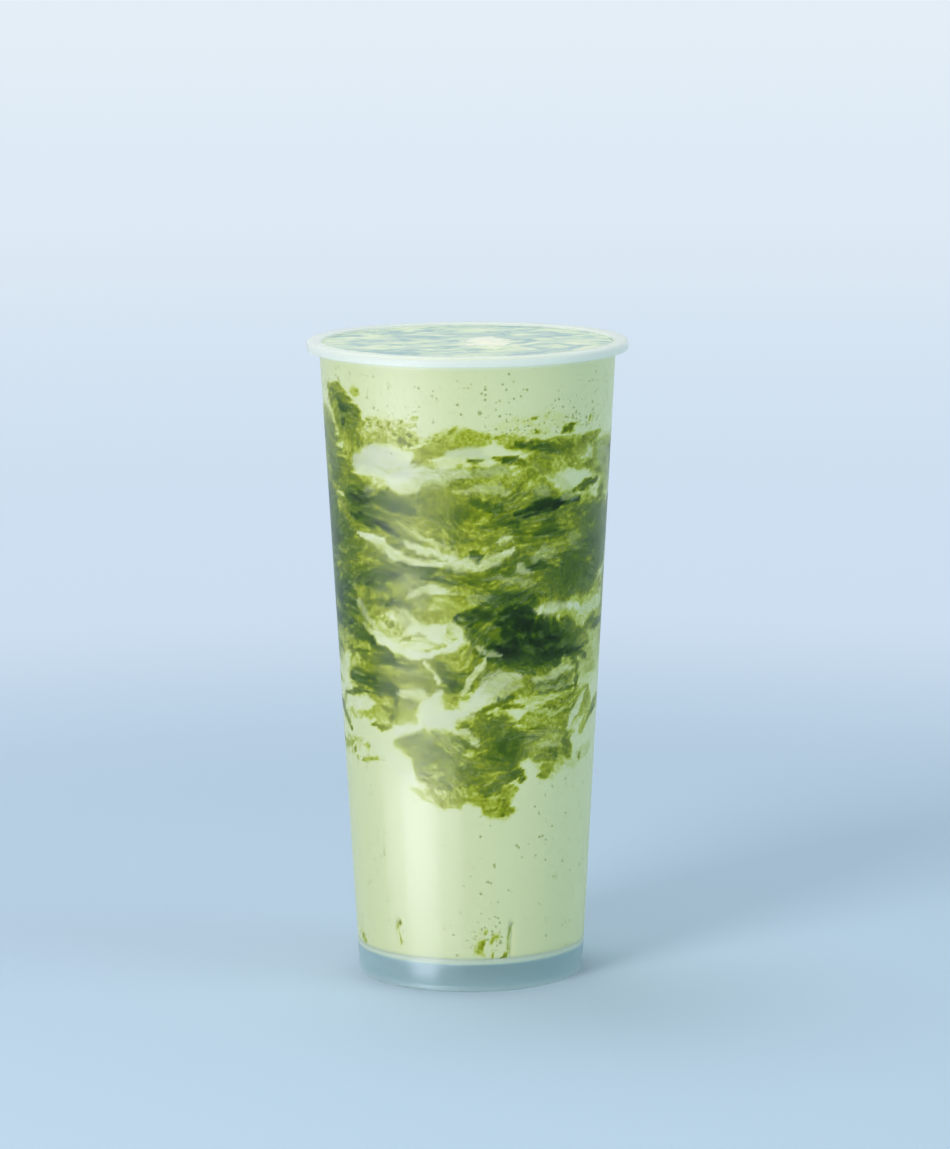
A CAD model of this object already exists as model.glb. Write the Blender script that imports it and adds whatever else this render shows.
"""A tall takeaway cup of blended green drink: its moulded cup, its marbled drink, and a plain studio.

Lengths are metres with +Z up. On the cup, a place is an angle in degrees round from the front
(-Y), positive to +X, and a height in millimetres above the foot, because a maker reads it so.
"""
import math
import random

import bmesh
import bpy
import numpy as np
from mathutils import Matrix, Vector, noise


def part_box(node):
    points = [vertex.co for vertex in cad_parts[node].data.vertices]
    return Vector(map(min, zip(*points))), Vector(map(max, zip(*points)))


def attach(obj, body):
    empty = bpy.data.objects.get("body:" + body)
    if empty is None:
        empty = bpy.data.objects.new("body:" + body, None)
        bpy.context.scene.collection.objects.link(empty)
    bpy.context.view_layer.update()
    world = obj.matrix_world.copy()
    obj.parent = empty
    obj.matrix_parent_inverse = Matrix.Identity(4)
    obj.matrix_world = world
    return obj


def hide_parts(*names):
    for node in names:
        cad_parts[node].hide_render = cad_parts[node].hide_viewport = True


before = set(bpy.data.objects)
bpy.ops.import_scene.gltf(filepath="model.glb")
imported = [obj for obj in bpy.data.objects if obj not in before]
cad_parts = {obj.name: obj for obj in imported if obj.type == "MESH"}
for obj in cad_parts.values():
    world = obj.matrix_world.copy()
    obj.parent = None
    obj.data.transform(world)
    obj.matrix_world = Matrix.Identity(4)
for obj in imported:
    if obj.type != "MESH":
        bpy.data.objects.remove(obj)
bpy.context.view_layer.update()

MM = 0.001
ROUND_STEPS = 360              # columns round the cup, one for each degree
TOUCHING = 1e-6                # nearer than this is the same place

# What the frame says.
CUP_LOW, CUP_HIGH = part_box("cup")
HEIGHT = CUP_HIGH[2]
RIM_RADIUS = (CUP_HIGH[0] - CUP_LOW[0]) / 2
FLOOR_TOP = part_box("drink")[0][2]

# The moulding's own small sizes.
WALL = 0.7 * MM
SKIRT = 1.3 * MM
FLANGE = 1.1 * MM
LIP_HANG = 2.7 * MM
LIP_THICK = 1.0 * MM
FLOOR = 0.9 * MM
GATE_RADIUS = 1.5 * MM
GATE_DEPTH = 0.5 * MM

# Its rounds.
MOUTH_ROUND = 0.5 * MM
RIM_ROUND = 0.8 * MM
LIP_ROUND = 0.3 * MM
NECK_ROUND = 0.6 * MM
FOOT_ROUND = 0.9 * MM
RECESS_ROUND = 0.8 * MM
FLOOR_ROUND = 1.2 * MM

# Its ribs, which stand in from the wall at the floor.
RIB_COUNT = 6
RIB_FIRST = 20.5               # degrees from the front
RIB_TOP = FLOOR_TOP + 9.7 * MM
RIB_DEPTH = 1.0 * MM
RIB_HALF = 0.62 * MM           # half of a rib's width
RIB_FLANK = 0.25 * MM          # the slope of its sides
RIB_SLOPE = 0.5 * MM           # and of its top
ABOVE_RIBS = RIB_TOP + 0.5 * MM

# The drink: its level, its ripples and the low lump right of the middle.
BITE = 0.12 * MM               # how far the drink reaches into the wall that holds it
DRINK_LEVEL = HEIGHT - 0.8 * MM
SIDE_ROWS = ((52 * MM, 30), (172 * MM, 184))   # up to which heights, in how many rows
RIPPLE_HEIGHT = 0.34 * MM
RIPPLE_LENGTH = 17 * MM
RIPPLE_TRAINS = 5
TRAIN_SHARE, SPIRAL_SHARE = 0.7, 0.3
EDGE_CALM = 0.65               # how much flatter the ripples lie at the wall
LUMP_HEIGHT = 0.4 * MM
LUMP_WIDTH = 13 * MM
LUMP_LONG = 1.4                # how many times longer than wide
LUMP_AT = (4.5 * MM, -4.0 * MM)
FOAM_AT = (5.5 * MM, -1 * MM, 0.0)
FOAM_WIDTH = 13 * MM


def widest_near(node, height, reach=0.7 * MM):
    """The largest radius of a CAD node's points near a height."""
    points = [v.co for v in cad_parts[node].data.vertices]
    return max(math.hypot(p.x, p.y) for p in points if abs(p.z - height) < reach)


INSIDE_LOW = (FLOOR_TOP + FLOOR_ROUND, widest_near("drink", FLOOR_TOP + FLOOR_ROUND))
INSIDE_HIGH = (DRINK_LEVEL, widest_near("drink", DRINK_LEVEL))
SLOPE = (INSIDE_HIGH[1] - INSIDE_LOW[1]) / (INSIDE_HIGH[0] - INSIDE_LOW[0])


def inside_radius(z):
    """The wall's inner radius at a height, on the straight taper between two places."""
    return INSIDE_LOW[1] + SLOPE * (z - INSIDE_LOW[0])


def outside_radius(z):
    return inside_radius(z) + WALL


# ---------------------------------------------------------------- shapes

def arc(centre, radius, start, end, steps):
    """Points (r, z) round a centre, from one angle to another in degrees."""
    turns = [math.radians(start + (end - start) * i / steps) for i in range(steps + 1)]
    return [(centre[0] + radius * math.cos(t), centre[1] + radius * math.sin(t)) for t in turns]


def run(start, end, steps):
    """Points on a straight line after its start, up to its end."""
    return [
        (start[0] + (end[0] - start[0]) * i / steps, start[1] + (end[1] - start[1]) * i / steps)
        for i in range(1, steps + 1)
    ]


def turned(name, profile):
    """A piece made by turning a profile of (r, z) points about the cup's axis."""
    bm = bmesh.new()
    points = [bm.verts.new((0, -r, z)) for r, z in profile]
    edges = [bm.edges.new(pair) for pair in zip(points, points[1:])]
    bmesh.ops.spin(
        bm, geom=points + edges, cent=(0, 0, 0), axis=(0, 0, 1), dvec=(0, 0, 0),
        angle=2 * math.pi, steps=ROUND_STEPS, use_merge=True, use_duplicate=False,
    )
    bmesh.ops.remove_doubles(bm, verts=bm.verts, dist=TOUCHING)
    bmesh.ops.recalc_face_normals(bm, faces=bm.faces)
    mesh = bpy.data.meshes.new(name)
    bm.to_mesh(mesh)
    bm.free()
    for face in mesh.polygons:
        face.use_smooth = True
    piece = bpy.data.objects.new(name, mesh)
    bpy.context.collection.objects.link(piece)
    return piece


def read_points(mesh):
    flat = np.empty(3 * len(mesh.vertices))
    mesh.vertices.foreach_get("co", flat)
    return flat.reshape(-1, 3)


def write_points(mesh, points):
    mesh.vertices.foreach_set("co", points.ravel())
    mesh.update()


def angle_of(points):
    """Degrees round from the front, -180 to 180, positive to +X."""
    return np.degrees(np.arctan2(points[:, 0], -points[:, 1]))


def rib_push(angle, z):
    """How far the ribs stand in from the wall at a place."""
    spacing = 360 / RIB_COUNT
    off = (angle - RIB_FIRST + spacing / 2) % spacing - spacing / 2
    across = np.radians(np.abs(off)) * inside_radius(z)
    flank = np.clip((RIB_HALF + RIB_FLANK - across) / RIB_FLANK, 0, 1)
    top = np.clip((RIB_TOP + 0.6 * RIB_SLOPE - z) / RIB_SLOPE, 0, 1)
    face = inside_radius(RIB_TOP) - RIB_DEPTH
    return np.maximum(inside_radius(z) - face, 0) * flank * top


def press_ribs(mesh):
    """Moves a piece's points along the wall in where the ribs stand, and gives all its points."""
    points = read_points(mesh)
    z, radius = points[:, 2], np.hypot(points[:, 0], points[:, 1])
    wall = inside_radius(z)
    low = (z > FLOOR_TOP + 0.05 * MM) & (z < ABOVE_RIBS)
    along = low & (radius > 0.9 * wall) & (radius < wall + 0.2 * MM)
    push = rib_push(angle_of(points), z)
    points[along, :2] *= (1 - push[along] / radius[along])[:, None]
    return points


def make_cup():
    """The moulded shell: floor, wall, flange with its hanging lip, foot, recess and gate mark."""
    under = FLOOR_TOP - FLOOR
    recess = outside_radius(under) - SKIRT
    lip_in, lip_end = RIM_RADIUS - LIP_THICK, HEIGHT - LIP_HANG
    neck_at = HEIGHT - FLANGE - NECK_ROUND
    foot_edge = outside_radius(0)
    corner = inside_radius(FLOOR_TOP + FLOOR_ROUND)
    ribs_end = RIB_TOP + 0.4 * MM
    # up the inside
    profile = [(0, FLOOR_TOP)]
    profile += run(profile[-1], (corner - FLOOR_ROUND, FLOOR_TOP), 8)
    profile += arc((corner - FLOOR_ROUND, FLOOR_TOP + FLOOR_ROUND), FLOOR_ROUND, -90, 0, 6)[1:]
    profile += run(profile[-1], (inside_radius(ribs_end), ribs_end), 24)
    profile += run(profile[-1], (inside_radius(HEIGHT - MOUTH_ROUND), HEIGHT - MOUTH_ROUND), 24)
    mouth = (inside_radius(HEIGHT) + MOUTH_ROUND, HEIGHT - MOUTH_ROUND)
    profile += arc(mouth, MOUTH_ROUND, 180, 90, 6)[1:]
    # over the rim and round its hanging lip
    profile += arc((RIM_RADIUS - RIM_ROUND, HEIGHT - RIM_ROUND), RIM_ROUND, 90, 0, 8)
    profile += arc((RIM_RADIUS - LIP_ROUND, lip_end + LIP_ROUND), LIP_ROUND, 0, -90, 4)
    profile += arc((lip_in + LIP_ROUND, lip_end + LIP_ROUND), LIP_ROUND, -90, -180, 4)
    profile += arc((lip_in - LIP_ROUND, HEIGHT - FLANGE - LIP_ROUND), LIP_ROUND, 0, 90, 3)
    # down the outside to the foot
    profile += arc((outside_radius(HEIGHT - FLANGE) + NECK_ROUND, neck_at), NECK_ROUND, 90, 180, 5)
    profile += run(profile[-1], (outside_radius(FOOT_ROUND), FOOT_ROUND), 40)
    profile += arc((foot_edge - FOOT_ROUND, FOOT_ROUND), FOOT_ROUND, 0, -90, 8)[1:]
    profile += [(foot_edge - SKIRT, 0)]
    # under the raised floor
    profile += run(profile[-1], (recess, under - RECESS_ROUND), 4)
    profile += arc((recess - RECESS_ROUND, under - RECESS_ROUND), RECESS_ROUND, 0, 90, 5)[1:]
    profile += [(GATE_RADIUS, under), (GATE_RADIUS, under - GATE_DEPTH), (0, under - GATE_DEPTH)]
    cup = turned("cup_shell", profile)
    write_points(cup.data, press_ribs(cup.data))
    return cup


def ripple(x, y):
    """Height of the stirred top over its level, x and y in metres."""
    reach = inside_radius(HEIGHT)
    radius, turn = np.hypot(x, y), np.arctan2(y, x)
    golden = math.pi * (3 - math.sqrt(5))
    total, weights = 0.0, 0.0
    for k in range(RIPPLE_TRAINS):
        length, weight = RIPPLE_LENGTH / (1 + 0.45 * k), 1 / (1 + k)
        along = x * math.cos(golden * k) + y * math.sin(golden * k)
        across = y * math.cos(golden * k) - x * math.sin(golden * k)
        bend = 0.9 * np.sin(2 * math.pi * across / (1.7 * RIPPLE_LENGTH) + k)
        total = total + weight * np.sin(2 * math.pi * along / length + bend + 2 * k)
        weights += weight
    spiral = np.sin(2 * math.pi * radius / RIPPLE_LENGTH - 2 * turn)
    spiral = spiral * np.minimum(1, radius / RIPPLE_LENGTH)
    calm = 1 - EDGE_CALM * np.minimum(1, radius / reach) ** 6
    height = RIPPLE_HEIGHT * (TRAIN_SHARE * total / weights + SPIRAL_SHARE * spiral) * calm
    away = np.hypot(x - LUMP_AT[0], (y - LUMP_AT[1]) / LUMP_LONG)
    return height + LUMP_HEIGHT * np.exp(-((2.2 * away / LUMP_WIDTH) ** 2))


def make_drink():
    """The drink up to its level, its side in fine rows that can hold the marbling."""
    bottom = FLOOR_TOP - BITE
    corner = inside_radius(bottom + FLOOR_ROUND) + BITE
    edge = inside_radius(DRINK_LEVEL) + BITE
    profile = [(0, bottom)]
    profile += run(profile[-1], (corner - FLOOR_ROUND, bottom), 8)
    profile += arc((corner - FLOOR_ROUND, bottom + FLOOR_ROUND), FLOOR_ROUND, -90, 0, 5)[1:]
    for height, rows in SIDE_ROWS:
        profile += run(profile[-1], (inside_radius(height) + BITE, height), rows)
    profile += run(profile[-1], (edge, DRINK_LEVEL), 6)
    profile += run(profile[-1], (0, DRINK_LEVEL), 40)
    drink = turned("drink_body", profile)
    points = press_ribs(drink.data)
    top = points[:, 2] > DRINK_LEVEL - TOUCHING
    points[top, 2] += ripple(points[top, 0], points[top, 1])
    write_points(drink.data, points)
    for face in drink.data.polygons:
        if face.normal.z > 0.7 and face.center.z > DRINK_LEVEL - 2 * MM:
            face.material_index = 1
    return drink


# ---------------------------------------------------------------- marbling

SHEET = 36.0                   # mean radius in millimetres, where a degree is unrolled to a length
SPINE_STEPS = 6                # short steps between two places of a stroke
TIP, BELLY = 0.22, 0.78        # a stroke's width at its tips, and what is added between them
EDGE_END, EDGE_WIDE = 1.42, 0.84   # where a stroke's soft edge ends, and how wide it is

# How the drink was bent as it flowed, and how the strokes' edges are: size, push in mm, seed.
FLOW_BENDS = ((34, 5.0, 3.1), (14, 2.6, 7.7), (6, 0.8, 11.3))
EDGE_BENDS = ((10, 1.2, 21.0), (4, 0.9, 25.0), (1.8, 0.55, 29.0))
BEND_FLAT, BEND_SIDEWAYS = 1.5, 1.3   # bends are flatter than wide, and push further sideways
SWIRLS = 60
FRAY = 2.25                    # how strongly the strokes' edges fray out along the flow
FRAY_SIZE = 4 * MM
FRAY_FLAT = [1, 1, 3.2]        # the fraying is this much flatter than wide

# The back carries the front's strokes, turned round and a little squeezed towards the band's middle.
BACK_TURN = 183
BAND_MIDDLE = 112
BACK_SQUEEZE = 0.94
ABOVE_FOOT = 30                # only strokes above this height
JOINS = (94, 268)              # where front and back meet, in degrees
JOIN_STROKES, JOIN_REACH = 64, 17

# Where each lot of random draws begins.
BACK_SEED, DAB_SEED, SWIRL_SEED = 20, 11, 7


def unrolled(angle, height):
    """Places in degrees and millimetres, as millimetres along and up a flat sheet."""
    return np.radians(angle) * SHEET, height


def rolled(s, h):
    """Unrolled millimetres put back round a cylinder, in metres, where noise meets itself."""
    turn = s / SHEET
    return np.stack([SHEET * np.sin(turn), -SHEET * np.cos(turn), h], axis=1) * MM


def wobble(s, h, size, amount, seed):
    """Pushes unrolled places by smooth noise, in features of a size, wider than tall."""
    at = rolled(s, h) / (size * MM)
    at[:, 2] = at[:, 2] * BEND_FLAT + seed
    push = np.array([noise.noise_vector(Vector(p)) for p in at])
    return s + amount * BEND_SIDEWAYS * push[:, 0], h + amount * push[:, 1]


def swirl(s, h, centre, reach, turns):
    """Turns places round a centre, fading with distance, as a spoon leaves them."""
    cs, ch = unrolled(centre[0], centre[1])
    ds = (s - cs + math.pi * SHEET) % (2 * math.pi * SHEET) - math.pi * SHEET
    dh = h - ch
    turn = 2 * math.pi * turns * np.exp(-(ds ** 2 + dh ** 2) / reach ** 2)
    return (
        s + ds * (np.cos(turn) - 1) - dh * np.sin(turn),
        h + dh * (np.cos(turn) - 1) + ds * np.sin(turn),
    )


# Tones of the marbling: how much green powder, milk and cool cast, and how streaky it is.
PALE = (0.02, 0, 0, 0)
MINT = (0.07, 0.15, 0.25, 0.3)
CREAM = (0.03, 0.8, 0, 0.35)
WHITE = (0, 1.0, 0.22, 0.3)
LIME = (0.25, 0, 0, 0.6)
OLIVE = (0.42, 0, 0, 0.9)
MOSS = (0.42, 0.03, 0, 0.4)
HAZE = (0.31, 0.24, 0.12, 0.3)
LEAF = (0.54, 0, 0.05, 0.8)
FERN = (0.53, 0.03, 0.15, 0.4)
DEEP = (0.71, 0, 0.1, 0.7)
TEAL = (0.52, 0.1, 0.6, 0.4)
INK = (0.70, 0, 0.8, 0.75)
BLACK = (0.90, 0, 0.15, 0.6)
MIST = (0.20, 0.45, 0.6, 0.3)
LILAC = (0.04, 0.9, 0.62, 0.3)
JADE = (0.07, 0, 0.6, 0)

# Brush strokes on the front, laid in order: tone, strength, width in mm, places (degrees, mm).
FRONT = [
    # the band's ground, from the top down
    (MOSS, 0.85, 26, (-95, 126), (-60, 128), (-20, 130), (30, 130), (95, 130)),
    (MOSS, 0.7, 15, (-24, 141), (-8, 142), (12, 142), (34, 142)),
    (FERN, 0.4, 24, (-95, 108), (-50, 112), (20, 114), (60, 114), (95, 110)),
    (MOSS, 0.75, 15, (-66, 89), (-40, 88), (0, 92), (52, 88)),
    (HAZE, 0.6, 16, (44, 96), (66, 94), (92, 96)),
    (TEAL, 0.5, 12, (58, 150), (72, 148), (92, 146)),
    (LEAF, 0.6, 9, (26, 78), (40, 77), (56, 80), (66, 82)),
    # far left: mist over teal
    (TEAL, 0.55, 20, (-95, 150), (-82, 146), (-76, 136)),
    (MIST, 0.75, 9, (-78, 162), (-72, 153), (-67, 146)),
    (MINT, 0.5, 4, (-80, 160), (-74, 152)),
    (TEAL, 0.85, 11, (-92, 136), (-78, 133), (-73, 122)),
    (TEAL, 0.7, 9, (-92, 112), (-76, 112), (-64, 110)),
    (LEAF, 0.7, 6, (-67, 132), (-62, 126), (-64, 116)),
    (INK, 0.45, 18, (-96, 136), (-80, 126), (-75, 110), (-80, 92)),
    (MINT, 0.65, 1.8, (-86, 122), (-70, 122.4), (-58, 123.6)),
    # plume
    (MOSS, 0.85, 5.5, (-73, 169), (-63, 168), (-55, 164.6), (-50, 160), (-50, 155)),
    (MOSS, 0.7, 9, (-70, 167), (-60, 162), (-55, 154), (-56, 145)),
    (FERN, 0.35, 5, (-62, 165), (-55, 160), (-51, 154)),
    (LIME, 0.4, 3, (-60, 163), (-55, 159), (-53, 154)),
    (TEAL, 0.45, 12, (-86, 160), (-76, 154), (-68, 146)),
    (LEAF, 0.7, 2.4, (-68, 168.5), (-62, 166), (-59, 159)),
    (LEAF, 0.5, 2, (-50, 164), (-49.5, 157)),
    (LIME, 0.6, 2.5, (-58, 157), (-56, 151)),
    (LIME, 0.6, 2.5, (-51, 170), (-48, 168.5)),
    (MOSS, 0.75, 8, (-62, 150), (-58, 144), (-48, 140)),
    (LEAF, 0.65, 6, (-57, 142), (-42, 139), (-26, 138)),
    # powder cloud
    (LIME, 0.32, 7, (-49, 158.4), (-36, 159), (-21, 158)),
    (LIME, 0.3, 4, (-49, 156), (-36, 156.6), (-22, 156)),
    (LIME, 0.75, 1.8, (-48, 154.8), (-36, 154.6), (-22, 153.4)),
    (OLIVE, 0.35, 1.2, (-45, 155.2), (-38, 154.8)),
    (LIME, 0.22, 6, (10, 160), (30, 160), (48, 160)),
    # arch
    (LIME, 0.9, 5.4, (-25, 149), (-16, 153.6), (-5, 156.6), (8, 157.6)),
    (LIME, 0.3, 2, (-20, 153.8), (-8, 157), (4, 158.2), (16, 157.4)),
    (OLIVE, 0.6, 4.4, (10, 157), (22, 155.6), (34, 154)),
    (LEAF, 0.7, 3, (18, 155.5), (32, 154.5), (41, 151.5)),
    (OLIVE, 0.75, 4, (36, 153), (46, 152), (56, 154), (66, 156)),
    (DEEP, 0.7, 2.2, (41, 157.5), (44, 158.6), (47.5, 159.6)),
    (LIME, 0.8, 4, (-20, 150), (-12, 148), (-4, 147.5)),
    (LEAF, 0.6, 1.8, (-16, 149.4), (-7, 147), (0, 145)),
    (LILAC, 0.6, 3.6, (-9, 153.4), (0, 153.4), (8, 151.5)),
    (INK, 0.55, 1.6, (-1, 151), (5, 150.8)),
    (MIST, 0.7, 3.2, (0, 147), (10, 147.6), (17, 147)),
    (DEEP, 0.65, 2.2, (10, 151), (20, 150.5), (30, 149)),
    (LIME, 0.65, 3.6, (18, 146.5), (28, 150), (36, 148)),
    (MINT, 0.85, 2.6, (24, 150.8), (32, 147.6), (40, 144), (48, 141.6)),
    (MINT, 0.8, 5, (50, 152), (60, 150.6)),
    (OLIVE, 0.6, 3, (44, 149), (54, 148), (62, 146)),
    (MIST, 0.75, 7, (66, 152), (76, 147), (84, 140)),
    (INK, 0.7, 2.4, (46, 141), (55, 141.8), (66, 143)),
    (INK, 0.5, 4, (66, 139), (76, 140)),
    (INK, 0.9, 3.6, (20, 135.6), (30, 137.4), (38, 138), (51, 138.6)),
    (INK, 0.5, 2.6, (30, 132), (38, 133)),
    (MIST, 0.6, 2.6, (40, 140.6), (50, 139)),
    (MIST, 0.45, 3, (28, 143.5), (34, 142)),
    # white patch
    (LILAC, 0.55, 5, (-30, 147), (-20, 146.4), (-10, 147.4), (0, 147.6)),
    (LILAC, 0.85, 7.6, (-52, 149.4), (-43, 150.6), (-34, 149.6), (-24, 148)),
    (WHITE, 0.5, 2.8, (-46, 152), (-38, 151), (-29, 151.4)),
    (WHITE, 0.5, 3.6, (-36, 145.6), (-28, 143.6), (-20, 143.4)),
    (HAZE, 0.35, 1.8, (-41, 148.4), (-34, 147.4), (-27, 148.6)),
    (MIST, 0.4, 1.8, (-34, 150), (-28, 148.8), (-20, 149.4)),
    (LIME, 0.65, 2.6, (-49, 144.6), (-42, 143)),
    (CREAM, 0.53, 2.2, (-46, 141), (-40, 141.6)),
    # middle, between the arch and the smile
    (LEAF, 0.6, 5, (-10, 137), (6, 135), (22, 133)),
    (DEEP, 0.65, 2.6, (0, 139.5), (8, 138.4), (16, 137)),
    (LIME, 0.6, 2.6, (-8, 131.5), (2, 134), (11, 136.4)),
    (MIST, 0.4, 3.6, (-20, 144), (-8, 144)),
    (LIME, 0.5, 3, (-24, 134), (-14, 131)),
    (CREAM, 0.35, 1.9, (-4, 142), (6, 143.5), (16, 142)),
    (LEAF, 0.6, 4, (20, 129.5), (30, 128.4), (42, 129)),
    (DEEP, 0.6, 1.8, (18, 131), (30, 130.5), (44, 131.4)),
    (MIST, 0.4, 3.6, (44, 127.5), (56, 126)),
    (FERN, 0.8, 12, (46, 122), (58, 120), (72, 117)),
    (TEAL, 0.75, 13, (56, 132), (72, 127), (90, 126)),
    (TEAL, 0.5, 4, (48, 135), (60, 134), (74, 136)),
    # left of the middle
    (LEAF, 0.7, 7, (-62, 138), (-50, 138), (-34, 138.6), (-22, 137)),
    (DEEP, 0.9, 2.2, (-58, 134.6), (-50, 133.2), (-42, 132), (-33, 130.8)),
    (DEEP, 0.6, 1.6, (-40, 131), (-30, 129.4), (-22, 127.6)),
    (LIME, 0.7, 1.5, (-60, 132.6), (-47, 130.4), (-36, 129)),
    (OLIVE, 0.6, 2.4, (-60, 130.6), (-48, 129), (-38, 127.6)),
    (MINT, 0.45, 1.3, (-32, 134), (-23, 130.4), (-14, 127.4)),
    # cream smile
    (CREAM, 0.84, 2.7, (-52, 129.4), (-42, 127), (-32, 124.8), (-20, 123), (-8, 122.2)),
    (CREAM, 0.79, 3.1, (-12, 122.3), (0, 122.2), (12, 123), (19, 125.6)),
    (CREAM, 0.75, 1.8, (-30, 129.6), (-20, 126.6), (-10, 124.6), (-2, 123.4)),
    (CREAM, 0.53, 1.5, (-26, 131), (-16, 127.8), (-6, 125.8)),
    (LIME, 0.7, 2.2, (-14, 126.2), (-4, 125.4), (9, 126.4)),
    (DEEP, 0.85, 1.8, (-1, 124.5), (6, 124)),
    (LIME, 0.85, 1.4, (4, 125.7), (8, 124.5)),
    (CREAM, 0.62, 1.9, (12, 127.6), (19, 129)),
    (MIST, 0.9, 3.2, (26, 122), (32, 124.4), (40, 124)),
    (DEEP, 0.8, 2.4, (22, 119.6), (30, 120.6), (42, 119.6)),
    (WHITE, 0.79, 1.9, (20, 121.6), (23, 119.3), (27, 118.2)),
    # under the smile
    (OLIVE, 0.8, 4.4, (-62, 119), (-48, 118.4), (-30, 118)),
    (LIME, 0.85, 1.5, (-55, 122.5), (-46, 121.5), (-38, 121.4)),
    (OLIVE, 0.7, 4, (-30, 120), (-14, 119.6), (2, 119.6), (17, 119.4)),
    (LIME, 0.55, 6, (-44, 113), (-28, 112), (-14, 112)),
    (HAZE, 0.7, 7, (-27, 118), (-20, 114), (-22, 109.6)),
    (LEAF, 0.75, 2.4, (-58, 115), (-47, 115), (-36, 114)),
    (LEAF, 0.65, 1.8, (-20, 118), (-6, 117.4), (10, 117.4)),
    (CREAM, 0.7, 1.8, (-27, 113), (-20, 114.4), (-12, 115), (-3, 114)),
    (LIME, 0.8, 3.2, (-12, 112.4), (-4, 113), (4, 112)),
    (MIST, 0.6, 1.8, (0, 112), (8, 112.5), (13, 113)),
    (CREAM, 0.48, 1.5, (12, 118), (20, 117), (28, 115.4)),
    (DEEP, 0.6, 2.4, (8, 114.2), (20, 113.4), (36, 112.6)),
    (FERN, 0.9, 9, (36, 117), (48, 117), (62, 115)),
    (TEAL, 0.7, 5, (50, 113), (60, 113), (68, 116)),
    (LIME, 0.6, 2.2, (24, 109.6), (32, 111), (37, 112)),
    (LIME, 0.55, 1.5, (28, 117.6), (35, 119.2)),
    (CREAM, 0.95, 3.2, (28, 108), (38, 108.5), (48, 108.5), (59, 107.4)),
    (MINT, 0.9, 3.8, (54, 106.5), (66, 107), (82, 107.6)),
    # the bright pool
    (LIME, 0.75, 12, (-50, 106), (-34, 106), (-14, 106)),
    (CREAM, 0.7, 3, (-55, 110), (-51, 107), (-46, 104)),
    (CREAM, 0.45, 4.6, (-37, 107), (-28, 106.6), (-20, 105)),
    (CREAM, 0.75, 6, (-27, 102.4), (-18, 102.4), (-10, 104)),
    (CREAM, 0.53, 3.2, (-8, 106), (-4, 104), (-3, 101)),
    (OLIVE, 0.65, 2.4, (-47, 109.6), (-36, 110.6), (-27, 110)),
    (LEAF, 0.75, 2, (-39, 104.6), (-34, 104)),
    (OLIVE, 0.6, 1.6, (-31, 99.6), (-22, 100.8), (-13, 99.8)),
    (LEAF, 0.8, 5, (-67, 104), (-61, 106), (-57, 111)),
    (DEEP, 0.9, 3.6, (-65, 101), (-54, 100.4), (-46, 98)),
    (DEEP, 0.7, 2.6, (-50, 97.4), (-42, 96.8), (-35, 95.4)),
    (MINT, 0.8, 5, (-84, 99), (-72, 98), (-64, 99.6)),
    (MINT, 0.5, 3, (-84, 107), (-72, 106)),
    (CREAM, 0.6, 1.8, (-52, 103), (-44, 101), (-34, 99.4)),
    (CREAM, 0.8, 2.8, (-43, 99.4), (-32, 97.6), (-24, 96.4), (-14, 97)),
    (WHITE, 0.7, 2.4, (-25, 97), (-16, 96.4)),
    (CREAM, 0.75, 2.2, (-14, 97), (-6, 99.4), (1, 101.6)),
    # darkest mass right of centre
    (DEEP, 0.9, 4.4, (-5, 107), (4, 107), (14, 106.6), (24, 107)),
    (FERN, 0.9, 13, (2, 102), (18, 101), (40, 99), (62, 97)),
    (DEEP, 0.9, 8, (14, 103), (28, 103), (40, 101.4), (56, 100)),
    (DEEP, 0.8, 6, (6, 97), (22, 96.4), (36, 95), (50, 95)),
    (DEEP, 0.65, 6, (4, 109), (16, 111), (29, 112)),
    (BLACK, 0.8, 3.6, (11, 104.6), (21, 105), (33, 103)),
    (BLACK, 0.75, 3.4, (18, 100), (31, 99.6), (44, 98)),
    (BLACK, 0.75, 3.4, (2, 97.4), (13, 97.8), (27, 96)),
    (BLACK, 0.8, 3.6, (23, 93.6), (34, 95.6), (47, 96)),
    (BLACK, 0.55, 3, (12, 108.4), (21, 109.4), (30, 107.4)),
    (INK, 0.6, 2.4, (22, 91.8), (33, 91.6), (43, 92.2)),
    (OLIVE, 0.55, 1.5, (15, 101.9), (24, 102), (35, 101.2)),
    (LEAF, 0.6, 1.8, (17, 94.2), (24, 94.6), (29, 93)),
    (LEAF, 0.6, 2.2, (38, 100.4), (46, 100), (55, 98.4)),
    (DEEP, 0.7, 2.6, (46, 96), (56, 95), (64, 92)),
    (INK, 0.8, 3.6, (57, 101), (66, 101.6), (82, 101)),
    (OLIVE, 0.75, 2.6, (18, 92.4), (28, 92), (40, 91)),
    (OLIVE, 0.8, 3.4, (-2, 98.4), (8, 98), (16, 94)),
    (LIME, 0.95, 2.4, (3, 105), (9, 104), (13.5, 101.4)),
    (OLIVE, 0.8, 1.6, (0, 103), (7, 101)),
    (CREAM, 0.57, 1.8, (2, 99.6), (8, 97.4), (15, 96.4)),
    (LIME, 0.75, 1.1, (14, 104), (21, 103.4)),
    (LIME, 0.6, 1.8, (46, 105), (54, 104.4), (61, 103.4)),
    (LIME, 0.5, 1, (24, 98.6), (36, 98), (46, 97)),
    # leaf shape and its stalks
    (LEAF, 0.85, 3.6, (-60, 95), (-48, 94.6), (-36, 93.4), (-24, 93)),
    (HAZE, 0.6, 2.6, (-37, 92), (-26, 91.4), (-18, 91)),
    (OLIVE, 0.85, 7.5, (-13, 92), (-6, 90), (3, 92)),
    (LEAF, 0.65, 3.4, (-13, 92), (-8, 87)),
    (LIME, 0.85, 3.6, (-10, 84.6), (-7, 80)),
    (CREAM, 0.79, 2.3, (7, 95.6), (4, 93), (0, 89.4), (-4, 86)),
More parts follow.
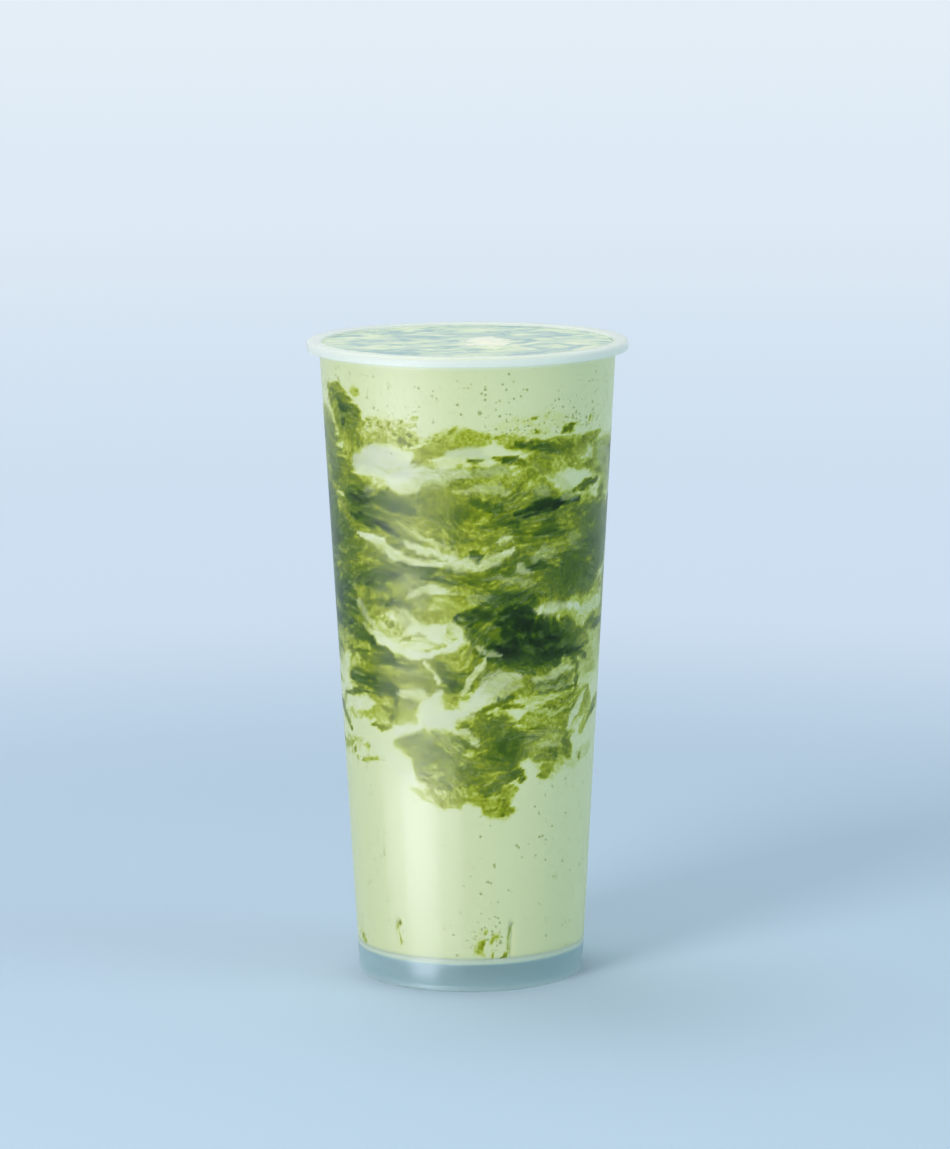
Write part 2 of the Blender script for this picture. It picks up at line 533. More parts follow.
    (CREAM, 0.79, 1.8, (-20, 94.4), (-16.5, 91.4), (-16, 88)),
    (CREAM, 0.7, 2.7, (-35, 85.4), (-26, 86), (-20, 84), (-22, 80.4)),
    (HAZE, 0.6, 2.4, (-32, 82.6), (-27, 82.4), (-23, 83.6)),
    (WHITE, 0.75, 3.2, (-21, 79.6), (-16, 83), (-14, 87)),
    (WHITE, 0.97, 5, (23, 89.4), (14, 89), (7, 86.4), (2, 83)),
    (CREAM, 0.79, 3.8, (7, 84.4), (0, 80.6), (-5, 78)),
    (CREAM, 0.7, 3.2, (22, 87.4), (14, 85.4), (8, 83.4)),
    (WHITE, 0.75, 3.8, (-3, 79.6), (-12, 78), (-22, 77.4)),
    (OLIVE, 0.9, 1.8, (24, 84.2), (16, 83.4), (8, 81.4), (2, 78.4)),
    (LEAF, 0.7, 1.6, (10, 81.2), (20, 82), (27, 81)),
    (BLACK, 0.9, 1, (12, 84.3), (13, 84.3)),
    (LIME, 0.7, 2.4, (25, 90), (35, 89)),
    (CREAM, 0.79, 2.4, (28, 88), (36, 88.4), (44, 90), (51, 90.6)),
    (MIST, 0.75, 1.3, (28, 86), (40, 86.4), (55, 86.6)),
    (LEAF, 0.85, 1.2, (32, 84.8), (42, 85.3), (55, 85)),
    (LEAF, 0.7, 1.1, (30, 87.2), (40, 87.5), (50, 88.4)),
    (MINT, 0.75, 1.3, (24, 80.6), (34, 79.6), (42, 78.6), (53, 80)),
    (OLIVE, 0.7, 2.4, (36, 81), (46, 81.6), (55, 82)),
    (DEEP, 0.55, 2.4, (50, 94), (56, 90), (55, 84)),
    (CREAM, 0.79, 2.6, (63, 83.6), (57, 79), (50.5, 73.4)),
    (MINT, 0.65, 4, (58, 90), (65, 89)),
    (MINT, 0.5, 7, (72, 96), (82, 90)),
    # pale patches, left
    (MINT, 0.75, 5, (-84, 90), (-72, 90), (-66, 90)),
    (MINT, 0.6, 2.6, (-82, 84), (-68, 84)),
    (LEAF, 0.85, 5.4, (-65, 88), (-54, 87.4), (-44, 86), (-34, 86)),
    (OLIVE, 0.8, 2.4, (-60, 91), (-46, 90.4), (-34, 89.4)),
    (LIME, 0.7, 1.3, (-60, 92.6), (-50, 91.6), (-40, 91)),
    (DEEP, 0.65, 1.6, (-74, 82), (-60, 82.6), (-50, 84)),
    (CREAM, 0.75, 2.7, (-67, 79.6), (-56, 80), (-48, 81.4)),
    (LIME, 0.7, 2.4, (-74, 77), (-58, 77), (-46, 78)),
    (LIME, 0.9, 7, (-47, 79), (-41, 79), (-37, 82)),
    (OLIVE, 0.8, 2.2, (-51, 74.8), (-43, 75), (-37, 78)),
    (LEAF, 0.8, 1.6, (-36, 84.4), (-34, 81)),
    (OLIVE, 0.6, 1.4, (-44, 81), (-39, 79)),
    # the big lobe and its fringe
    (HAZE, 0.97, 9, (-34, 71.6), (-24, 70.8), (-14, 70.6), (-3, 71)),
    (HAZE, 0.97, 11, (-25, 65), (-12, 63.6), (-2, 65)),
    (MOSS, 0.45, 8, (-30, 71), (-18, 67), (-8, 66)),
    (MOSS, 0.95, 14, (-2, 75), (9, 72), (17, 68)),
    (MOSS, 0.95, 11, (-6, 63), (8, 62), (21, 63)),
    (MOSS, 0.6, 4, (-24, 60.6), (-12, 59.6), (0, 60)),
    (FERN, 0.7, 9, (10, 78), (19, 73), (23, 66)),
    (LEAF, 0.7, 7, (8, 68), (18, 69), (28, 72), (35, 75)),
    (MOSS, 0.85, 4.4, (22, 66), (28, 70), (33, 74)),
    (LEAF, 0.7, 3, (19, 60.4), (24, 62.4), (25, 60)),
    (LIME, 0.95, 3.8, (-28, 57.4), (-18, 56), (-8, 56), (3, 57)),
    (LIME, 0.95, 3, (-23, 55), (-10, 54.6), (1, 55)),
    (LIME, 0.95, 5.4, (-2, 57), (7, 54.6), (14, 52.4), (19, 53.6)),
    (OLIVE, 0.6, 2, (7, 57), (9, 53.6)),
    (LIME, 0.9, 3.8, (12, 54.6), (18, 56), (23, 59)),
    (OLIVE, 0.5, 1.6, (13, 55), (20, 57)),
    (CREAM, 0.66, 2.3, (-8, 74.6), (0, 73.6), (4.5, 70.6)),
    (LIME, 0.6, 1.6, (28, 74), (35, 73.4)),
    (WHITE, 0.75, 3.2, (-37, 75), (-30, 74.6), (-22, 76)),
    (CREAM, 0.85, 4.4, (-51, 70.6), (-42, 68), (-36, 64.6)),
    (CREAM, 0.9, 4.6, (-39, 68), (-33, 63), (-28.5, 59.6)),
    (LEAF, 0.7, 1.5, (-62, 64.4), (-56, 64.4), (-50, 65.4)),
    (LIME, 0.85, 1.5, (-57, 65.6), (-50, 65), (-46, 66)),
    (LIME, 0.6, 1.5, (-57, 67.6), (-53, 68)),
    (LEAF, 0.5, 1.2, (-69, 66.2), (-65, 66.3)),
    (LIME, 0.35, 2.6, (-78, 70), (-66, 69), (-58, 69.4)),
    (HAZE, 0.6, 9, (28, 71), (40, 69), (54, 72)),
    (LIME, 0.5, 8, (34, 64), (42, 65), (52, 68)),
    (MOSS, 0.7, 4.6, (34, 61.6), (39, 63.6), (42, 67.4)),
    (LIME, 0.6, 2, (36, 67), (42, 68)),
    (CREAM, 0.62, 1.9, (34, 69.4), (43, 69.4)),
    (MOSS, 0.8, 4.8, (47, 74), (51, 69.6), (52.6, 64.4)),
    (MOSS, 0.5, 4.6, (60, 71), (66, 75), (69, 81)),
    (MINT, 0.7, 3, (50, 61.6), (62, 64.4), (76, 67)),
    (LEAF, 0.5, 1.2, (60, 63.4), (63.5, 64.6)),
    # thin glazes over the finished marbling
    (FERN, 0.4, 17, (-82, 128), (-68, 124), (-57, 113), (-60, 98)),
    (FERN, 0.4, 13, (2, 116), (18, 116), (34, 119), (46, 112)),
    (MOSS, 0.35, 15, (8, 88), (28, 90), (48, 86)),
    (MOSS, 0.35, 8, (26, 71), (38, 69), (50, 70)),
    (MOSS, 0.45, 6, (-38, 79), (-26, 79)),
    (MOSS, 0.5, 9, (24, 149), (38, 151), (54, 154)),
    (FERN, 0.5, 11, (-80, 157), (-71, 152), (-68, 143)),
    (MINT, 0.3, 6, (44, 103), (56, 101), (68, 97)),
    (DEEP, 0.3, 8, (0, 104), (22, 101), (38, 98.6), (54, 98)),
    (DEEP, 0.4, 4, (-46, 133), (-36, 131)),
    (FERN, 0.35, 8, (20, 111), (34, 113), (46, 108)),
    (FERN, 0.3, 12, (-80, 104), (-66, 100), (-52, 96)),
    (MOSS, 0.4, 8, (34, 154), (44, 152), (54, 154)),
    # by the ribs
    (LEAF, 0.45, 0.9, (-39, 19.4), (-39, 11)),
    (DEEP, 0.85, 1, (-37.4, 18.2), (-36.6, 17.6)),
    (LEAF, 0.4, 0.8, (20.4, 19.8), (20.4, 11)),
    (LEAF, 0.6, 0.9, (16, 10.2), (19, 10.4)),
    (LEAF, 0.5, 1.5, (-76, 12.4), (-67, 11)),
    (JADE, 0.8, 1.9, (43.4, 31.6), (46.6, 30.6)),
]

# Where undissolved grains lie: how thick, how wide in mm, and places (degrees, mm).
DUST = [
    (0.10, 64, (-180, 40), (-90, 42), (0, 40), (90, 42), (180, 40)),
    (0.20, 18, (-180, 165), (-90, 165), (0, 166), (90, 165), (180, 165)),
    (0.8, 8, (2, 14), (9, 18), (15, 13)),
    (0.6, 6, (-80, 13), (-70, 13)),
    (0.9, 12, (-50, 158), (-36, 159), (-20, 158.4)),
    (0.6, 10, (14, 161), (38, 162), (62, 160)),
    (0.5, 9, (-72, 67), (-50, 66)),
    (0.6, 8, (104, 15), (118, 14)), (0.5, 9, (200, 158), (236, 160)), (0.6, 7, (240, 14), (256, 16)),
]


def spine(places):
    """A smooth line through a stroke's places, unrolled, as many short steps."""
    pts = [np.array(unrolled(a, h)) for a, h in places]
    pts = [2 * pts[0] - pts[1]] + pts + [2 * pts[-1] - pts[-2]]
    line = []
    for p0, p1, p2, p3 in zip(pts, pts[1:], pts[2:], pts[3:]):
        for i in range(SPINE_STEPS):
            t = i / SPINE_STEPS
            line.append(0.5 * (
                2 * p1 + (p2 - p0) * t + (2 * p0 - 5 * p1 + 4 * p2 - p3) * t ** 2
                + (3 * p1 - p0 - 3 * p2 + p3) * t ** 3
            ))
    line.append(pts[-2])
    return np.array(line)


def brush(s, h, places, width):
    """How much a stroke covers each place, 0 to 1, tapering to both ends."""
    line = spine(places)
    middle = line[:, 0].mean()
    lap = 2 * math.pi * SHEET
    s = (s - middle + lap / 2) % lap - lap / 2 + middle
    near = (
        (s > line[:, 0].min() - width) & (s < line[:, 0].max() + width)
        & (h > line[:, 1].min() - width) & (h < line[:, 1].max() + width)
    )
    cover = np.zeros(len(s))
    at = np.stack([s[near], h[near]], axis=1)
    best = np.zeros(len(at))
    steps = len(line) - 1
    for i in range(steps):
        start, step = line[i], line[i + 1] - line[i]
        share = np.clip(((at - start) @ step) / max(step @ step, 1e-9), 0, 1)
        away = np.hypot(*(at - start - share[:, None] * step).T)
        along = (i + share) / steps
        half = 0.5 * width * (TIP + BELLY * np.sin(math.pi * along) ** 0.65)
        best = np.maximum(best, np.clip((EDGE_END - away / half) / EDGE_WIDE, 0, 1))
    cover[near] = best * best * (3 - 2 * best)
    return cover


def back_strokes():
    """Strokes for the back: the front's manner carried round, with more across the two joins."""
    draw = random.Random(BACK_SEED)
    strokes = []
    for a in range(100, 262, 40):
        strokes.append((OLIVE, 0.75, 30, (a - 30, 130), (a, 126), (a + 30, 130)))
        strokes.append((LEAF, 0.5, 24, (a - 30, 104), (a, 108), (a + 30, 102)))
    for tone, strength, width, *places in FRONT:
        if min(h for _, h in places) > ABOVE_FOOT:
            middle = BAND_MIDDLE + 4 * math.sin(0.11 * places[0][0]) - 2
            moved = [(a + BACK_TURN, middle + BACK_SQUEEZE * (h - BAND_MIDDLE)) for a, h in places]
            strokes.append((tone, strength, width, *moved))
    tones = LEAF, OLIVE, DEEP, LIME, CREAM, MINT, TEAL, WHITE, HAZE
    for _ in range(JOIN_STROKES):
        tone = draw.choices(tones, [16, 20, 10, 16, 16, 8, 8, 4, 6])[0]
        a, h = draw.choice(JOINS) + draw.uniform(-JOIN_REACH, JOIN_REACH), draw.triangular(64, 160, 108)
        long, lean, sag = draw.uniform(12, 34), draw.uniform(-0.3, 0.3), draw.uniform(-4, 4)
        width = draw.uniform(1.3, 2.8) if draw.random() < 0.65 else draw.uniform(3, 7)
        ends = [(a - long / 2, h - lean * long / 2), (a, h + sag), (a + long / 2, h + lean * long / 2)]
        strokes.append((tone, draw.uniform(0.6, 0.95), width, *ends))
    return strokes


# Patches of loose powder: how many dabs, from and to in degrees, lowest, highest and thickest in mm.
LOOSE = [
    (170, -50, -20, 154.2, 164, 155),
    (20, 0, 16, 9, 21, 13),
    (30, 10, 64, 156, 165, 158),
    (14, -76, -50, 63, 71, 66),
    (60, 140, 200, 152, 164, 156),
]


def powder_dabs():
    """Small dabs of powder that the milk has not yet taken up."""
    draw = random.Random(DAB_SEED)
    dabs = []
    for count, start, end, low, high, thick in LOOSE:
        for _ in range(count):
            a, h = draw.uniform(start, end), draw.triangular(low, high, thick)
            long, lean, width = draw.uniform(0.5, 2.2), draw.uniform(-0.3, 0.3), draw.uniform(0.6, 1.25)
            tone, strength = draw.choice((LIME, LIME, OLIVE)), draw.uniform(0.2, 0.7)
            ends = [(a - long / 2, h - lean), (a + long / 2, h + lean)]
            dabs.append((tone, strength, width, *ends))
    return dabs


def flowed(s, h):
    """Where each unrolled place flowed from: bent by smooth noise, then turned by small swirls."""
    for size, amount, seed in FLOW_BENDS:
        s, h = wobble(s, h, size, amount, seed)
    draw = random.Random(SWIRL_SEED)
    for _ in range(SWIRLS):
        centre = (draw.uniform(-180, 180), draw.uniform(50, 165))
        reach = draw.uniform(5, 13)
        s, h = swirl(s, h, centre, reach, draw.choice((-1, 1)) * draw.uniform(0.04, 0.15))
    return s, h


def store(mesh, name, values):
    """Keeps values on a mesh's points, as a vector each or a number each."""
    wide = values.ndim == 2
    layer = mesh.attributes.new(name, "FLOAT_VECTOR" if wide else "FLOAT", "POINT")
    layer.data.foreach_set("vector" if wide else "value", np.ascontiguousarray(values).ravel())


def paint_marbling(drink):
    """Stores the marbling on the drink's points: its tones, and where each place flowed from."""
    points = read_points(drink.data)
    s, h = unrolled(angle_of(points), points[:, 2] / MM)
    flow = rolled(*flowed(s, h))
    drawn = flow * FRAY_FLAT / FRAY_SIZE
    fray = FRAY * np.array([noise.noise(Vector(p)) + 0.5 * noise.noise(Vector(2.3 * p)) for p in drawn])
    edge_s, edge_h = s, h
    for size, amount, seed in EDGE_BENDS:
        edge_s, edge_h = wobble(edge_s, edge_h, size, amount, seed)
    mix = np.tile(PALE, (len(points), 1))
    for tone, strength, width, *places in back_strokes() + FRONT + powder_dabs():
        cover = brush(edge_s, edge_h, places, width)
        cover = np.clip(cover + fray * cover * (1 - 0.7 * cover), 0, 1)
        cover = (strength * cover)[:, None]
        mix = mix * (1 - cover) + np.array(tone) * cover
    dust = np.zeros(len(points))
    for thick, width, *places in DUST:
        dust = np.maximum(dust, thick * brush(s, h, places, width))
    store(drink.data, "flow", flow)
    store(drink.data, "tone", mix[:, :3])
    store(drink.data, "stir", mix[:, 3])
    store(drink.data, "dust", dust)


# ---------------------------------------------------------------- finishes

def linear(r, g, b):
    """A screen colour, 0 to 255, as linear light."""
    return tuple(
        c / 12.92 if c <= 0.04045 else ((c + 0.055) / 1.055) ** 2.4
        for c in (r / 255, g / 255, b / 255)
    ) + (1.0,)


class Finish:
    """The nodes of a material, or of the world, under construction."""

    def __init__(self, name, kind="Material"):
        self.owner = (bpy.data.worlds if kind == "World" else bpy.data.materials).new(name)
        self.owner.use_nodes = True
        self.nodes = self.owner.node_tree.nodes
        self.links = self.owner.node_tree.links
        self.nodes.clear()
        self.output = self.nodes.new("ShaderNodeOutput" + kind)

    def add(self, kind, **sockets):
        node = self.nodes.new("ShaderNode" + kind)
        for name, value in sockets.items():
            self.set(node, name.replace("_", " "), value)
        return node

    def set(self, node, socket, value):
        target = node.inputs[int(socket)] if socket.isdigit() else node.inputs[socket]
        if isinstance(value, bpy.types.NodeSocket):
            self.links.new(value, target)
        else:
            target.default_value = value

    def fill(self, node, values):
        for i, value in enumerate(values):
            self.set(node, str(i), value)
        return node

    def place(self):
        """Where a point of the piece is, in metres."""
        return self.nodes.new("ShaderNodeTexCoord").outputs["Object"]

    def attribute(self, name, output="Vector"):
        node = self.nodes.new("ShaderNodeAttribute")
        node.attribute_type = "GEOMETRY"
        node.attribute_name = name
        return node.outputs[output]

    def split(self, vector):
        return self.fill(self.add("SeparateXYZ"), [vector]).outputs

    def math(self, operation, *values, clamp=False):
        node = self.nodes.new("ShaderNodeMath")
        node.operation = operation
        node.use_clamp = clamp
        return self.fill(node, values).outputs[0]

    def times(self, *values, clamp=False):
        return self.math("MULTIPLY", *values, clamp=clamp)

    def swung(self, value, amount):
        """A noise from 0 to 1 made to swing about 0, by an amount."""
        return self.times(self.math("SUBTRACT", value, 0.5), amount)

    def vector(self, operation, *values):
        node = self.nodes.new("ShaderNodeVectorMath")
        node.operation = operation
        return self.fill(node, values)

    def stretched(self, vector, y=1.0, z=1.0):
        return self.vector("MULTIPLY", vector, (1.0, y, z)).outputs[0]

    def length(self, vector):
        return self.vector("LENGTH", vector).outputs["Value"]

    def noise(self, vector, scale, detail=3.0, roughness=0.5, swirl=0.0):
        return self.add(
            "TexNoise", Vector=vector, Scale=scale, Detail=detail, Roughness=roughness, Distortion=swirl,
        ).outputs["Fac"]

    def blend(self, share, first, second, mode="MIX"):
        node = self.nodes.new("ShaderNodeMix")
        node.data_type = "RGBA"
        node.blend_type = mode
        for socket, value in (("0", share), ("6", first), ("7", second)):
            self.set(node, socket, value)
        return node.outputs[2]

    def ramp(self, value, stops, smooth=False):
        node = self.nodes.new("ShaderNodeValToRGB")
        node.color_ramp.interpolation = "EASE" if smooth else "LINEAR"
        elements = node.color_ramp.elements
        while len(elements) < len(stops):
            elements.new(1.0)
        for element, (place, colour) in zip(elements, stops):
            element.position = place
            element.color = colour
        return self.fill(node, [value]).outputs[0]

    def grey_ramp(self, value, stops, smooth=False):
        return self.ramp(value, [(place, (v, v, v, 1)) for place, v in stops], smooth)

    def mixed(self, share, first, second):
        return self.fill(self.add("MixShader"), (share, first, second)).outputs[0]

    def seen_directly(self):
        """1 for rays that show the background: the camera's, and those off gloss or through plastic."""
        ray = self.add("LightPath").outputs
        seen = self.math("MAXIMUM", ray["Is Camera Ray"], ray["Is Glossy Ray"])
        return self.math("MAXIMUM", seen, ray["Is Transmission Ray"])

    def finish(self, shader):
        self.links.new(shader, self.output.inputs["Surface"])
        return self.owner


# The drink's colour by how much powder it holds, 0 to 1.
POWDER = [
    (0.0, linear(224, 231, 190)),
    (0.075, linear(211, 220, 150)),
    (0.16, linear(183, 196, 80)),
    (0.255, linear(153, 165, 28)),
    (0.38, linear(108, 127, 6)),
    (0.52, linear(72, 102, 8)),
    (0.67, linear(40, 70, 10)),
    (0.83, linear(22, 48, 12)),
    (1.0, linear(8, 28, 8)),
]
THREAD = linear(208, 216, 162)
MILK = linear(222, 228, 194)
CAST_ON_POWDER = linear(112, 176, 186)
CAST_ON_MILK = linear(172, 166, 210)
SPECK = linear(126, 138, 14)
SPECK_DEPTH = 0.6
SPECKS = ((300.0, 0.06, 0.24), (620.0, 0.35, 0.36), (1050.0, 0.9, 0.5))   # cells a metre, share, size

# How strongly each noise swings the powder, and the cool cast.
BROAD_SWING, MASS_SWING, FINE_SWING, GRAIN_SWING = 1.15, 1.0, 0.28, 0.55
CAST_STRENGTH = 0.5

# The top's streaks, from the blue-grey ones to the pale ones between them.
STREAKS = [
    (0.40, linear(148, 182, 180)),
    (0.47, linear(184, 210, 190)),
    (0.54, linear(212, 230, 192)),
    (0.62, linear(230, 240, 202)),
]
FOAM = linear(250, 251, 222)


def powder_density(look, powder, flow, calm):
    """How much powder there is, broken up by streaks along the flow and by grain."""
    streaks = look.stretched(flow, z=2.8)
    masses = look.noise(look.stretched(flow, z=2.0), 42, detail=2, swirl=0.6)
    broad = look.noise(streaks, 95, swirl=1.2)
    fine = look.noise(streaks, 240, roughness=0.55, swirl=0.9)
    swing = look.swung(broad, look.times(calm, BROAD_SWING))
    swing = look.math("ADD", swing, look.swung(masses, MASS_SWING))
    swing = look.math("ADD", swing, look.swung(fine, FINE_SWING))
    swing = look.times(swing, look.attribute("stir", "Fac"))
    grain = look.noise(look.place(), 1000, detail=2, roughness=0.6)
    grainy = look.grey_ramp(powder, [(0.03, 0.0), (0.12, 0.6), (0.3, 0.9), (0.7, 0.35), (1.0, 0.2)])
    mottle = look.swung(grain, look.times(grainy, GRAIN_SWING))
    return look.math("ADD", powder, look.math("ADD", swing, mottle), clamp=True)


def milk_threads(look, powder, flow, calm):
    """Thin lines of milk drawn out along the flow, where a noise crosses its middle."""
    drawn = look.noise(look.stretched(flow, z=4.2), 70, detail=2, roughness=0.45, swirl=1.6)
    off = look.math("ABSOLUTE", look.swung(drawn, 1.0))
    line = look.grey_ramp(off, [(0.0, 1.0), (0.0096, 0.8), (0.024, 0.0)])
    allowed = look.grey_ramp(powder, [(0.2, 0.0), (0.36, 0.3), (0.55, 0.15), (0.7, 0.0)])
    return look.times(line, look.times(allowed, calm))


def specks(look, colour):
    """Grains of powder that never dissolved, thick where the dust lies, a few larger than the rest."""
    dust = look.attribute("dust", "Fac")
    where = look.place()
    for scale, share, size in SPECKS:
        cells = look.add("TexVoronoi", Vector=where, Scale=scale)
        lucky, grown, _ = look.split(cells.outputs["Color"])
        there = look.math("LESS_THAN", lucky, look.times(dust, share))
        reach = look.grey_ramp(grown, [(0.0, 0.35 * size), (1.0, size)])
        inside = look.math("SUBTRACT", reach, cells.outputs["Distance"])
        spot = look.grey_ramp(inside, [(0.0, 0.0), (0.1, 1.0)])
        speck = look.times(look.times(spot, there), SPECK_DEPTH)
        colour = look.blend(speck, colour, SPECK)
    return colour


def drink_side_finish():
    """Powder through its colours, then threads and clouds of milk, the cool cast and the specks."""
    look = Finish("marbled_drink")
    flow = look.attribute("flow")
    powder, milk, cool = look.split(look.attribute("tone"))
    calm = look.grey_ramp(look.noise(flow, 34, detail=1), [(0.38, 0.35), (0.62, 1.0)])
    colour = look.ramp(powder_density(look, powder, flow, calm), POWDER)
    colour = look.blend(milk_threads(look, powder, flow, calm), colour, THREAD)
    veil = look.noise(look.stretched(flow, z=4.0), 150, swirl=1.0)
    whiter = look.times(milk, look.grey_ramp(veil, [(0.34, 0.35), (0.56, 1.0)]), clamp=True)
    colour = look.blend(whiter, colour, MILK)
    cast = look.blend(milk, CAST_ON_POWDER, CAST_ON_MILK)
    colour = look.blend(look.times(cool, CAST_STRENGTH), colour, cast, "MULTIPLY")
    shader = look.add(
        "BsdfPrincipled", Base_Color=specks(look, colour), Roughness=0.5, Specular_IOR_Level=0.0,
    )
    return look.finish(shader.outputs[0])


def drink_top_finish():
    """Stirring streaks, and the lump of foam right of the middle."""
    look = Finish("stirred_top")
    where = look.place()
    turned_about = look.noise(look.stretched(where, 1.5, 0.0), 48, swirl=2.2)
    fine = look.noise(look.stretched(where, 1.6, 0.0), 120, roughness=0.55, swirl=1.4)
    streak = look.math("ADD", look.times(turned_about, 0.7), look.times(fine, 0.3))
    colour = look.ramp(streak, STREAKS)
    from_foam = look.vector("SUBTRACT", where, FOAM_AT).outputs[0]
    away = look.length(look.stretched(from_foam, 0.55, 0.0))
    away = look.math("ADD", away, look.swung(fine, 0.02))
    foam = look.grey_ramp(look.math("DIVIDE", away, FOAM_WIDTH), [(0.34, 1.0), (0.56, 0.0)])
    colour = look.blend(foam, colour, FOAM)
    shader = look.add("BsdfPrincipled", Base_Color=colour, Roughness=0.2, Specular_IOR_Level=0.2)
    return look.finish(shader.outputs[0])


def clear_to_light(look, shader):
    """Lets shadow rays and bounced light through a clear wall unbent, so it stays free of grain."""
    light = look.add("LightPath")
    for ray in ("Is Diffuse Ray", "Is Shadow Ray"):
        through = look.add("BsdfTransparent", Color=(0.96, 0.97, 0.97, 1))
        shader = look.mixed(light.outputs[ray], shader, through.outputs[0])
    return shader


def cup_finish():
    """Clear polypropylene, frosted a little by the mould, milky where it is thick at the flange."""
    look = Finish("clear_polypropylene")
    high = look.math("DIVIDE", look.split(look.place())[2], HEIGHT)
    flange = (HEIGHT - LIP_HANG - NECK_ROUND) / HEIGHT
    skirt = (FLOOR_TOP - 0.5 * FLOOR) / HEIGHT
    clear = look.grey_ramp(high, [
        (0.0, 0.7), (skirt - 0.006, 0.75), (skirt - 0.002, 0.4), (skirt + 0.003, 0.4), (skirt + 0.006, 1.0),
        (flange - 0.003, 1.0), (flange + 0.003, 0.42), (1.0, 0.45),
    ])
    wall_tint = linear(246, 250, 248)
    tint = look.ramp(high, [
        (0.0, linear(214, 232, 236)), (0.012, linear(194, 220, 226)),
        (skirt - 0.006, linear(188, 215, 222)), (skirt - 0.002, linear(214, 230, 208)),
        (skirt + 0.006, wall_tint), (flange - 0.003, wall_tint),
        (flange + 0.003, linear(234, 242, 236)), (1.0, linear(236, 243, 240)),
    ])
    plastic = look.add(
        "BsdfPrincipled", Base_Color=tint, Roughness=0.32, IOR=1.25, Transmission_Weight=clear,
        Specular_IOR_Level=0.3,
    )
    return look.finish(clear_to_light(look, plastic.outputs[0]))


# ---------------------------------------------------------------- studio

SOFT_LIGHT = 0.55              # strength of the even light all round
BACKGROUND = 0.85              # strength of the pale background, where it is seen
FLOOR_REACH = 9.0              # half the floor's side
FLOOR_FAR = 5.0                # where its colour stops changing

# Lamps: name, place, size, power, the height they are aimed at, colour.
LAMPS = (
    ("key", (-0.62, -0.80, 0.62), (0.36, 0.9), 7.0, 0.1, (1.0, 0.93, 0.87)),
    ("fill", (1.15, -0.42, 0.6), (0.8, 0.9), 4.0, 0.1, (0.76, 0.97, 0.95)),
    ("top_light", (-0.22, 0.30, 1.1), (0.6, 0.5), 3.2, 0.1, (1, 1, 1)),
)

# Cards that only gloss sees, close by the wall, for the soft upright highlight: name, place, size, power.
CARDS = (
    ("sheen_card", (-0.072, -0.074, 0.080), (0.13, 0.16), 0.30),
    ("sheen_core", (-0.071, -0.073, 0.080), (0.045, 0.16), 0.13),
    ("low_card", (-0.0280, -0.0412, 0.029), (0.054, 0.056), 0.050),
    ("low_core", (-0.0240, -0.0400, 0.029), (0.018, 0.054), 0.022),
    ("foot_card", (-0.0193, -0.0345, 0.003), (0.012, 0.006), 0.0022),
    ("high_card", (-0.072, -0.074, 0.158), (0.070, 0.034), 0.036),
)
CARD_COLOUR = (0.90, 0.87, 1.0)

# The camera: its lens, where it stands, and how far it looks down and leans, in degrees.
LENS, SENSOR = 161.0, 36.0
CAMERA_AT = (0.0030, -1.430, 0.346)
CAMERA_DOWN, CAMERA_LEAN = 9.246, 0.31


def area_lamp(name, place, size, power, aimed_at, colour):
    light = bpy.data.lights.new(name, "AREA")
    light.shape = "RECTANGLE"
    light.size, light.size_y = size
    light.energy = power
    light.color = colour
    lamp = bpy.data.objects.new(name, light)
    lamp.location = place
    lamp.rotation_euler = (Vector((0, 0, aimed_at)) - lamp.location).to_track_quat("-Z", "Y").to_euler()
    lamp.visible_camera = False
    bpy.context.collection.objects.link(lamp)
    return lamp


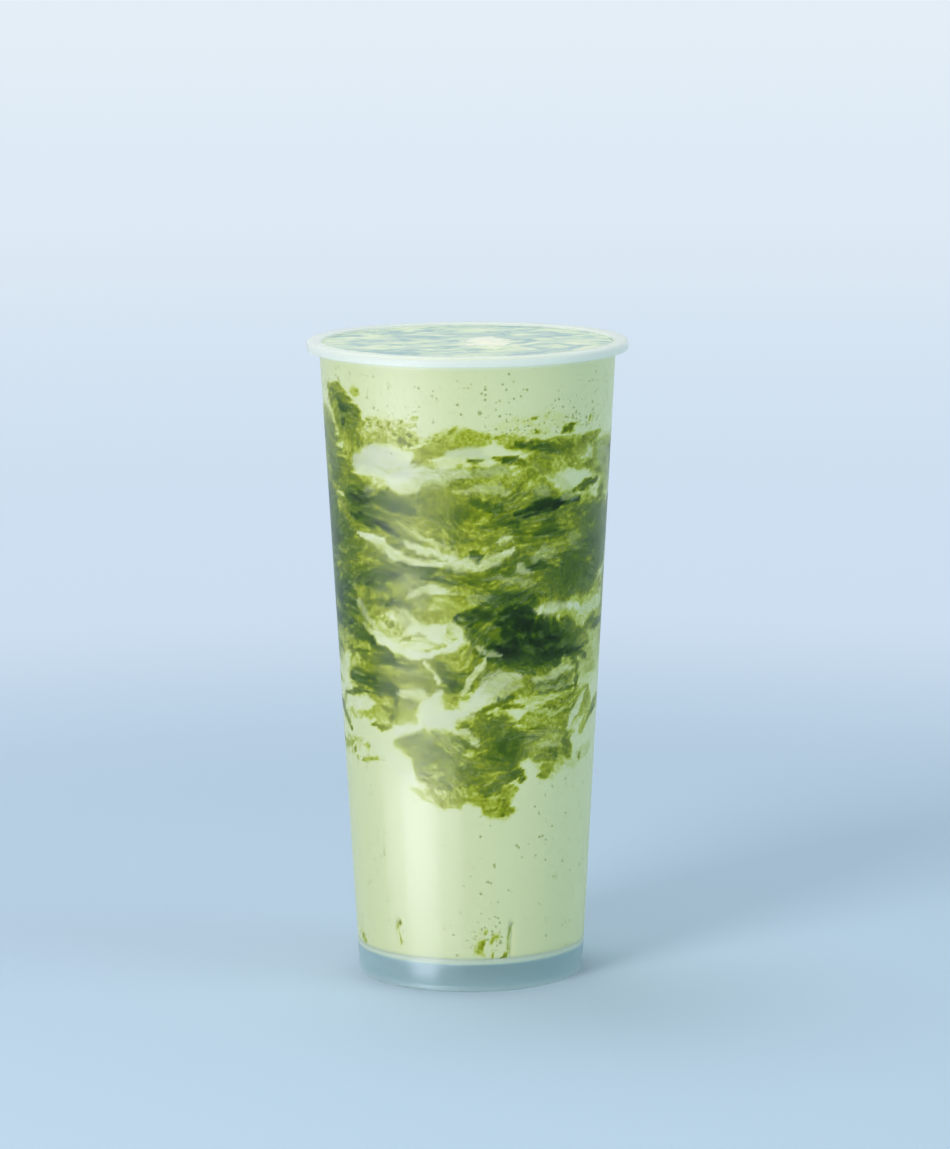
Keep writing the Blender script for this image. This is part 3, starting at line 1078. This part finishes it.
def make_floor():
    """A pale floor that keeps the cup's shadow and fades to a plain pale distance."""
    bm = bmesh.new()
    bmesh.ops.create_grid(bm, x_segments=1, y_segments=1, size=FLOOR_REACH)
    mesh = bpy.data.meshes.new("floor")
    bm.to_mesh(mesh)
    bm.free()
    floor = bpy.data.objects.new("floor", mesh)
    bpy.context.collection.objects.link(floor)
    look = Finish("pale_floor")
    lit = look.add(
        "BsdfPrincipled", Base_Color=linear(186, 209, 232), Roughness=0.8, Specular_IOR_Level=0.0,
    )
    away = look.length(look.place())
    shade = look.ramp(look.math("DIVIDE", away, FLOOR_FAR), [
        (0.0, linear(196, 217, 238)), (0.12, linear(204, 222, 240)), (0.5, linear(222, 234, 245)),
        (1.0, linear(228, 238, 247)),
    ], smooth=True)
    plain = look.add("Emission", Color=shade)
    far = look.grey_ramp(away, [(0.22, 0.0), (0.62, 1.0)], smooth=True)
    share = look.times(look.seen_directly(), far)
    mesh.materials.append(look.finish(look.mixed(share, lit.outputs[0], plain.outputs[0])))


def make_world():
    """Soft even light, and a pale background where it is seen directly or in a reflection."""
    studio = Finish("studio", "World")
    soft = studio.add("Background", Color=linear(241, 246, 244), Strength=SOFT_LIGHT)
    pale = studio.add("Background", Color=linear(226, 237, 247), Strength=BACKGROUND)
    seen = studio.mixed(studio.seen_directly(), soft.outputs[0], pale.outputs[0])
    bpy.context.scene.world = studio.finish(seen)


def make_camera():
    lens = bpy.data.cameras.new("camera")
    lens.lens = LENS
    lens.sensor_width = SENSOR
    camera = bpy.data.objects.new("camera", lens)
    camera.location = CAMERA_AT
    camera.rotation_euler = (math.radians(90 - CAMERA_DOWN), math.radians(CAMERA_LEAN), 0)
    bpy.context.collection.objects.link(camera)
    bpy.context.scene.camera = camera


def dress(piece, *finishes):
    for finish in finishes:
        piece.data.materials.append(finish)


cup = make_cup()
dress(cup, cup_finish())
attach(cup, "root")
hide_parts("cup")

drink = make_drink()
paint_marbling(drink)
dress(drink, drink_side_finish(), drink_top_finish())
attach(drink, "root")
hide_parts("drink")

make_floor()
make_world()
make_camera()
for lamp in LAMPS:
    area_lamp(*lamp)
for name, place, size, power in CARDS:
    card = area_lamp(name, place, size, power, place[2], CARD_COLOUR)
    card.visible_diffuse = False

bpy.context.scene.view_settings.view_transform = "Standard"
